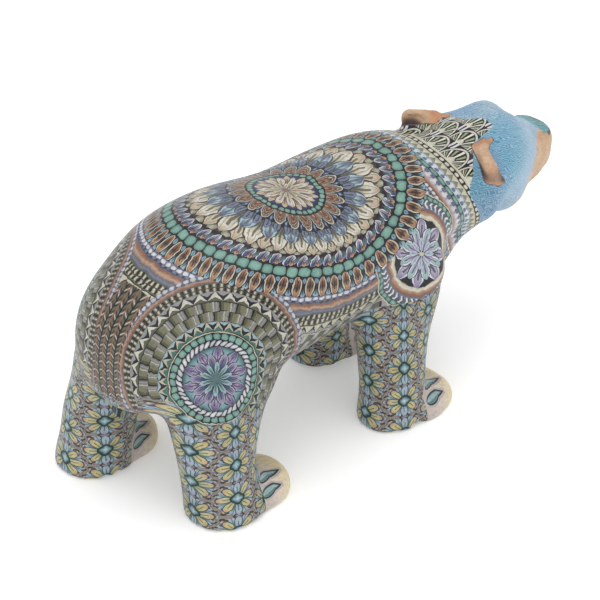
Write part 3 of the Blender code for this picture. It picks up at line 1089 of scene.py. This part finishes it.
def roll_out(points, normals, near, centre, reach):
    """Lays the skin round a centre out flat, in millimetres ahead and to the left of it."""
    start = int(np.argmin(np.linalg.norm(points - np.array(centre) * MM, axis=1)))
    place = (points / MM).tolist()
    up = normals.tolist()
    flat = np.full((len(points), 2), np.nan)
    at = {start: (0.0, 0.0)}
    tilt = up[start]
    ahead = Vector((1, 0, 0)) - Vector(tilt) * tilt[0]
    facing = {start: tuple(ahead.normalized())}
    done = set()
    queue = [(0.0, start)]
    best = {start: 0.0}
    while queue:
        far, i = heapq.heappop(queue)
        if i in done:
            continue
        if i != start:
            at[i], facing[i] = laid_beside(i, [j for j in near[i] if j in done], place, up, at, facing)
        done.add(i)
        flat[i] = at[i]
        if far > reach:
            continue
        for j in near[i]:
            step = far + math.dist(place[i], place[j])
            if j not in done and step < best.get(j, math.inf):
                best[j] = step
                heapq.heappush(queue, (step, j))
    return flat


def evened(flat, edges, rounds=12):
    """Takes the small unevenness out of a laid-out slice."""
    known = ~np.isnan(flat[:, 0])
    edges = edges[known[edges[:, 0]] & known[edges[:, 1]]]
    a = np.concatenate([edges[:, 0], edges[:, 1]])
    b = np.concatenate([edges[:, 1], edges[:, 0]])
    count = np.bincount(a, minlength=len(flat))
    full = count >= 4
    smooth = np.nan_to_num(flat)
    for _ in range(rounds):
        mean = np.stack([np.bincount(a, smooth[b, k], len(flat)) for k in range(2)], 1)
        mean /= np.maximum(count, 1)[:, None]
        smooth[full] = 0.5 * smooth[full] + 0.5 * mean[full]
    smooth[~known] = FAR_OFF
    return smooth


# The round slices: the middle of each, and how far round it the skin is laid out
ROUND_SLICES = {
    "back": ((-20.5, 0.0, 92.0), 88),
    "hip_right": ((-78.7, -29.6, 57.4), 44),
    "hip_left": ((-82.0, 31.0, 57.4), 44),
    "shoulder_right": ((14.0, -29.0, 64.5), 27),
    "shoulder_left": ((16.0, 31.0, 64.5), 27),
}
HIPS = ("hip_right", "hip_left")
SHOULDERS = ("shoulder_right", "shoulder_left")

# One cell of the lattice in millimetres, and how many go round a leg and the torso
CELL = 12.6
LEG_COLUMNS = 6
TORSO_COLUMNS = 16

# A paw's half width, the height of the line that its claws are set round, and the height of its ankle
PAW_ROUND = 10.5
PAW_AXIS = 4.0
ANKLE = 11.0

# Directions that go round and close: which of a chart's two, and what a whole turn of it measures
CLOSED_TURNS = {
    **{leg: (0, LEG_COLUMNS) for leg in LEGS}, **{"paw_" + leg: (1, TURN * PAW_ROUND) for leg in LEGS},
    "torso": (1, TORSO_COLUMNS), "neck": (1, 1)}

# The lines that torso and neck turn about, to the left and up, the line that the rump's rows are counted
# from, and the plane in which the collar begins
TORSO_AXIS = (1.0, 60.0)
NECK_AXIS = (-1.0, 65.0)
RUMP_SEAM = -1.0
COLLAR_LEAN = (0.936, 0.351)
COLLAR_FOOT = 52.7


def around(axis, y, z):
    """The turn about a line that runs ahead, from 0 at its under side."""
    return np.arctan2(y - axis[0], axis[1] - z)


def charts_of(points, faces, normals):
    """For every point, its place in the two directions of each kind of slice."""
    x, y, z = (points / MM).T
    edges = edges_of(faces)
    near = neighbours_of(edges, len(points))
    charts = {}
    for name, (centre, reach) in ROUND_SLICES.items():
        charts[name] = evened(roll_out(points, normals, near, centre, reach), edges).T
    charts["neck"] = (COLLAR_LEAN[0] * x + COLLAR_LEAN[1] * z - COLLAR_FOOT, around(NECK_AXIS, y, z) / TURN)
    for leg, (cx, cy) in LEGS.items():
        charts[leg] = (np.arctan2(y - cy, x - cx) / TURN * LEG_COLUMNS, z / CELL)
    charts["torso"] = (x / CELL, around(TORSO_AXIS, y, z) / TURN * TORSO_COLUMNS)
    charts["ends"] = (y / CELL, z / CELL)
    up_leg = np.maximum(z - ANKLE, 0) * 0.9
    for leg, (cx, cy) in PAWS.items():
        charts["paw_" + leg] = (x - cx - up_leg, np.arctan2(cy - y, z - PAW_AXIS) * PAW_ROUND)
    charts["rump"] = (y - RUMP_SEAM, z)
    right_ear, left_ear = (in_ear(points / MM, outward) for outward in SIDES)
    out, end, depth = np.where(y < EARS_MIDDLE, right_ear, left_ear)
    # On the right ear the painted shade in the hollow is kept smaller
    charts["ears"] = (out + np.where(y < EARS_MIDDLE, RIGHT_EAR_SHADE_SHRINK, 0), end)
    charts["sides"] = (normals[:, 0], depth)
    return {name: np.stack(chart, 1) for name, chart in charts.items()}


# A cut nearer to a corner than this share of an edge goes through the corner
NEAR_CORNER = 0.12


def halved(faces, signs, split, middle_of):
    """Each crossed face cut in two or three, and for each new face the side of 0 that it lies on."""
    new_faces, sides = [], []
    for face, sign, crossed in zip(faces, signs, split):
        if sum(crossed) == 1:
            k = crossed.index(True)
        else:
            k = next(k for k in range(3) if crossed[k] and crossed[k - 1])
        p, q, r = face[k], face[(k + 1) % 3], face[(k + 2) % 3]
        m = middle_of[min(p, q), max(p, q)]
        if sum(crossed) == 1:
            new_faces += [(p, m, r), (m, q, r)]
            sides += [sign[k], sign[(k + 1) % 3]]
        else:
            n = middle_of[min(p, r), max(p, r)]
            new_faces += [(p, m, n), (m, q, r), (m, r, n)]
            sides += [sign[k], -sign[k], -sign[k]]
    return new_faces, sides


class Skin:
    """The bear's skin while the slices are cut in.

    For each point it holds the place and, side by side, the two values of every chart. For each face it
    holds the number of its slice, and for each slice its clay and the chart that the clay follows.
    """

    def __init__(self, points, faces, charts):
        self.points = points
        self.faces = faces
        self.values = np.hstack(list(charts.values()))
        self.chart_names = list(charts)
        self.slice_of = np.zeros(len(faces), dtype=int)
        self.slices = [(leg_lattice, "torso")]

    def where(self):
        """Every point's x, y and z in millimetres."""
        return (self.points / MM).T

    def chart(self, name):
        """The two values of a chart for every point."""
        first = 2 * self.chart_names.index(name)
        return self.values[:, first:first + 2].T

    def reach(self, name):
        """Every point's distance from the middle of a round slice."""
        return np.hypot(*self.chart(name))

    def level(self):
        """How far out every point lies in the back's oval."""
        across, along = self.chart("back")
        return np.hypot(across / BACK_LENGTH, along / BACK_WIDTH)

    def lay(self, clay, chart, depth):
        """Lays a clay where depth is below 0 and no other clay lies, in the directions of a chart."""
        self.slices.append((clay, chart))
        self.cut(len(self.slices) - 1, np.array(depth, dtype=float))

    def cut(self, number, depth):
        """Cuts the free faces where depth crosses 0, and gives the inside, below 0, to this slice."""
        free = self.slice_of == 0
        faces = self.faces[free]
        edge_a = faces[:, [0, 1, 2]].ravel()
        edge_b = faces[:, [1, 2, 0]].ravel()
        crossing = depth[edge_a] * depth[edge_b] < 0
        a, b = edge_a[crossing], edge_b[crossing]
        share = depth[a] / (depth[a] - depth[b])
        depth[a[share < NEAR_CORNER]] = 0.0
        depth[b[share > 1 - NEAR_CORNER]] = 0.0
        sign = np.sign(depth)[faces].astype(int)
        split = np.stack([sign[:, k] * sign[:, (k + 1) % 3] < 0 for k in range(3)], 1)
        crossed = split.any(1)
        whole = faces[~crossed]
        parts = [self.faces[~free], whole]
        numbers = [self.slice_of[~free], np.where(depth[whole].sum(1) < 0, number, 0)]
        if crossed.any():
            middle_of = self.split_edges(faces, split, depth)
            new_faces, sides = halved(
                faces[crossed].tolist(), sign[crossed].tolist(), split[crossed].tolist(), middle_of)
            parts.append(np.array(new_faces))
            numbers.append(np.where(np.array(sides) < 0, number, 0))
        self.faces = np.vstack(parts)
        self.slice_of = np.concatenate(numbers)

    def split_edges(self, faces, split, depth):
        """Adds a point where each split edge crosses 0, and says which point it is for each edge."""
        ends = np.vstack([faces[split[:, k]][:, [k, (k + 1) % 3]] for k in range(3)])
        ends = np.unique(np.sort(ends, axis=1), axis=0)
        a, b = ends.T
        share = (depth[a] / (depth[a] - depth[b]))[:, None]
        count = len(self.points)
        self.points = np.vstack([self.points, self.points[a] * (1 - share) + self.points[b] * share])
        self.values = np.vstack([self.values, self.values[a] * (1 - share) + self.values[b] * share])
        return {pair: count + k for k, pair in enumerate(map(tuple, ends.tolist()))}

    def directions(self):
        """Each face's corners in its slice's chart, unbroken where a direction goes round and closes."""
        chart_number = np.array([self.chart_names.index(chart) for _, chart in self.slices])[self.slice_of]
        places = np.empty((len(self.faces), 3, 2))
        for corner in range(3):
            for axis in range(2):
                places[:, corner, axis] = self.values[self.faces[:, corner], 2 * chart_number + axis]
        for chart, (axis, period) in CLOSED_TURNS.items():
            mine = chart_number == self.chart_names.index(chart)
            turns = places[mine, :, axis]
            places[mine, :, axis] = turns - np.round((turns - turns[:, :1]) / period) * period
        return places


def inside_all(*depths):
    """Below 0 only where every one of these is."""
    return np.maximum.reduce(depths)


# Edges of slices, in millimetres ahead, to the left and up
EAR_FOOT_SHADE_WIDTH = 0.35
HEAD_BACK = 43.8
HEAD_FOOT = 40.0
BROW_FOOT = 72.0
SOLE_EDGE = 0.35
PAW_LINES = {"hind_right": -66.0, "hind_left": -81.5, "fore_right": 9.5, "fore_left": 17.5}
PAW_TOP = 21.0
PAW_HALF_WIDTH = 17.0
PAW_HALF_LENGTH = 16.0
HAUNCH_LINE = 27.0
HAUNCH_SLOPE = 0.25
FORE_LEG_TOP = 50.0
HIND_LEG_REACH = 30.0
FORE_LEG_REACH = 24.0
LEG_INWARD = 15.5
RUMP_LINE = 1.0
RUMP_HALF_WIDTH = 6.5
RUMP_FRONT = -85.0
RUMP_FOOT = 45.0
FLANK_FOOT = 48.0

# What faces ahead or back by more than this share has the lattice laid on end
END_ON = 0.78

# The edge of the head's blue between the ears: how far to the left of their middle, and how far ahead
CROWN_EDGE = [(-19.5, 46.6), (-15, 50), (-9.6, 56), (-8.2, 67.5), (-3, 67.5), (0, 64.5), (3, 63), (8.5, 62),
              (12, 57), (18, 52), (23, 46)]


def lay_head(skin):
    """Ears with a band of painted shade at their foot, the nose, and the blue, whose edge comes forward
    between the ears.
    """
    skin.lay(ear_clay, "ears", skin.chart("sides")[1])
    # A thin band of painted shade round the foot of each ear
    skin.lay(ear_foot_shade, "ears", skin.chart("sides")[1] - EAR_FOOT_SHADE_WIDTH)
    from_nose = (skin.where().T - np.array(NOSE)) / np.array(NOSE_SIZE)
    skin.lay(nose_clay, "torso", np.linalg.norm(from_nose, axis=1) - 1)
    x, y, z = skin.where()
    crown = np.interp(y - EARS_MIDDLE, *zip(*CROWN_EDGE))
    edge = HEAD_BACK + np.maximum(BROW_FOOT - z, 0) * 0.5
    edge += (crown - edge) * np.clip((z - BROW_FOOT) / 5, 0, 1)
    skin.lay(head_blue, "torso", inside_all(edge - x, HEAD_FOOT - z))


def lay_paws(skin):
    """The soles, and cream toes that end in a bow on top of each paw."""
    skin.lay(sole_clay, "torso", skin.where()[2] - SOLE_EDGE)
    for leg, (cx, cy) in PAWS.items():
        x, y, z = skin.where()
        behind = PAW_LINES[leg] - x + (y - cy) ** 2 / 150 + np.maximum(z - 9, 0) ** 2 * 0.1
        skin.lay(paw_clay, "paw_" + leg, inside_all(
            behind, z - PAW_TOP, np.abs(y - cy) - PAW_HALF_WIDTH, x - cx - PAW_HALF_LENGTH))


def lay_legs(skin):
    """The lattice, up to a line on each leg that slopes on the haunch."""
    for leg, (cx, cy) in LEGS.items():
        x, y, z = skin.where()
        hind = leg.startswith("hind")
        top = HAUNCH_LINE - HAUNCH_SLOPE * x if hind else FORE_LEG_TOP
        reach = HIND_LEG_REACH if hind else FORE_LEG_REACH
        inward = abs(cy) - LEG_INWARD - np.sign(cy) * y
        skin.lay(leg_lattice, leg, inside_all(z - top, np.hypot(x - cx, y - cy) - reach, inward))


def inlay(bear):
    """Cuts all the slices into the skin, those that lie uppermost first."""
    points = points_of(bear.data)
    faces = faces_of(bear.data)
    model_finely(points, faces)
    skin = Skin(points, faces, charts_of(points, faces, normals_of(points, faces)))
    lay_head(skin)
    lay_paws(skin)
    for hip in HIPS:
        skin.lay(hip_rosette, hip, skin.reach(hip) - HIP_ROSETTE_EDGE)
    lay_legs(skin)
    x, y, z = skin.where()
    skin.lay(rump_rows, "rump", inside_all(
        np.abs(y - RUMP_LINE) - RUMP_HALF_WIDTH, x - RUMP_FRONT, RUMP_FOOT - z))
    skin.lay(back_rosette, "back", skin.reach("back") - BACK_ROSETTE_EDGE)
    skin.lay(back_arches, "back", skin.reach("back") - BACK_ARCHES_EDGE)
    skin.lay(back_petals, "back", skin.level() - BACK_PETALS_EDGE)
    skin.lay(back_leaves, "back", skin.level() - BACK_LEAVES_EDGE)
    skin.lay(back_beads, "back", skin.level() - BACK_BEADS_EDGE)
    for shoulder in SHOULDERS:
        skin.lay(shoulder_rosette, shoulder, skin.reach(shoulder) - SHOULDER_EDGE)
    for hip in HIPS:
        skin.lay(hip_rows, hip, skin.reach(hip) - HIP_ROWS_EDGE)
    collar = skin.chart("neck")[0]
    skin.lay(neck_rows, "neck", inside_all(-collar, collar - COLLAR_WIDTH))
    skin.lay(nape_fans, "neck", COLLAR_WIDTH - skin.chart("neck")[0])
    skin.lay(back_lines, "back", skin.level() - BACK_LINES_EDGE)
    skin.lay(flank_rows, "back", inside_all(skin.level() - FLANK_EDGE, FLANK_FOOT - skin.where()[2]))
    skin.lay(leg_lattice, "ends", END_ON - np.abs(skin.chart("sides")[0]))
    return skin


def set_slices(bear):
    """Gives the bear its cut skin, a clay for each kind of slice, and the slices' directions."""
    skin = inlay(bear)
    mesh = bpy.data.meshes.new("inlaid_bear")
    mesh.from_pydata(skin.points.tolist(), [], skin.faces.tolist())
    clays = list(dict.fromkeys(clay for clay, _ in skin.slices))
    for clay in clays:
        mesh.materials.append(clay())
    clay_number = np.array([clays.index(clay) for clay, _ in skin.slices])
    mesh.polygons.foreach_set("material_index", clay_number[skin.slice_of].astype(np.int32))
    layer = mesh.uv_layers.new(name="slices")
    layer.uv.foreach_set("vector", skin.directions().astype(np.float32).ravel())
    mesh.update()
    mesh.validate()
    bear.data = mesh
    take_up(bear)
    bpy.ops.object.shade_smooth()


def eye_bead(name, centre, bear):
    """A bead set into its hollow, flattened."""
    _, at, normal, _ = bear.closest_point_on_mesh(Vector(centre) * MM)
    turned = Vector((0, 0, 1)).rotation_difference(normal).to_matrix().to_4x4()
    deselect()
    bpy.ops.mesh.primitive_uv_sphere_add(
        segments=32, ring_count=20, radius=EYE_RADIUS * MM, location=(0, 0, 0))
    bead = bpy.context.object
    bead.name = name
    bpy.ops.object.mode_set(mode="EDIT")
    bpy.ops.mesh.select_all(action="SELECT")
    bpy.ops.transform.resize(value=(1, 1, EYE_FLATNESS))
    bpy.ops.object.mode_set(mode="OBJECT")
    bead.data.transform(Matrix.Translation(at - normal * EYE_SINK * MM) @ turned)
    take_up(bead)
    bpy.ops.object.shade_smooth()
    return bead


bear = raw_bear()
set_slices(bear)
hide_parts("polar_bear")
eyes = [eye_bead(name, centre, bear) for name, centre in EYES.items()]
dark_glaze = eye_clay()
for eye in eyes:
    eye.data.materials.append(dark_glaze)
for piece in (bear, *eyes):
    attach(piece, "root")


# Floor, light and camera


def floor():
    deselect()
    bpy.ops.mesh.primitive_plane_add(size=8, location=(0, 0, 0))
    sheet = bpy.context.object
    sheet.name = "floor"
    paper = Clay("floor_paper")
    tone = paper.noise(3, 2.0)
    pale = paper.over((0.97, 0.97, 0.97), (0.95, 0.95, 0.95), tone)
    surface = paper.add("ShaderNodeBsdfPrincipled")
    paper.feed(surface.inputs["Base Color"], pale)
    surface.inputs["Roughness"].default_value = 0.9
    surface.inputs["Specular IOR Level"].default_value = 0.1
    surface.inputs["Emission Color"].default_value = (1, 1, 1, 1)
    surface.inputs["Emission Strength"].default_value = 0.18
    output = paper.add("ShaderNodeOutputMaterial")
    paper.feed(output.inputs["Surface"], surface.outputs[0])
    sheet.data.materials.append(paper.material)


def lamp(name, place, aim, size, power):
    data = bpy.data.lights.new(name, "AREA")
    data.size = size
    data.energy = power
    light = bpy.data.objects.new(name, data)
    bpy.context.scene.collection.objects.link(light)
    light.location = place
    light.rotation_mode = "QUATERNION"
    light.rotation_quaternion = (Vector(aim) - Vector(place)).to_track_quat("-Z", "Y")


def studio():
    world = bpy.data.worlds.new("studio")
    world.use_nodes = True
    sky = world.node_tree.nodes["Background"]
    sky.inputs["Color"].default_value = (1, 1, 1, 1)
    sky.inputs["Strength"].default_value = 0.85
    bpy.context.scene.world = world
    lamp("overhead", (-0.15, -0.2, 1.3), (0, 0, 0), 1.4, 6)
    lamp("side", (-1.0, -0.5, 0.8), (0, 0, 0.05), 1.2, 2.5)
    bpy.context.scene.view_settings.view_transform = "Standard"


# The photo's view: degrees turned and looking down, the lens in millimetres, the place that is looked at
# and how far off it is, in metres
PHOTO_TURN = 43
PHOTO_PITCH = 34
PHOTO_LENS = 174
PHOTO_AIM = (-0.0082, 0.0066, 0.038)
PHOTO_DISTANCE = 1.0


def photo_camera():
    phi = math.radians(PHOTO_TURN)
    pitch = math.radians(PHOTO_PITCH)
    right = Vector((math.cos(phi), -math.sin(phi), 0))
    level = Vector((math.sin(phi), math.cos(phi), 0))
    ahead = level * math.cos(pitch) - Vector((0, 0, math.sin(pitch)))
    up = level * math.sin(pitch) + Vector((0, 0, math.cos(pitch)))
    turn = Matrix((right, up, -ahead)).transposed().to_4x4()
    data = bpy.data.cameras.new("photo_camera")
    data.sensor_width = 36
    data.lens = PHOTO_LENS
    data.clip_start = 0.01
    data.clip_end = 20
    camera = bpy.data.objects.new("photo_camera", data)
    bpy.context.scene.collection.objects.link(camera)
    camera.matrix_world = Matrix.Translation(Vector(PHOTO_AIM) - ahead * PHOTO_DISTANCE) @ turn
    bpy.context.scene.camera = camera


floor()
studio()
photo_camera()
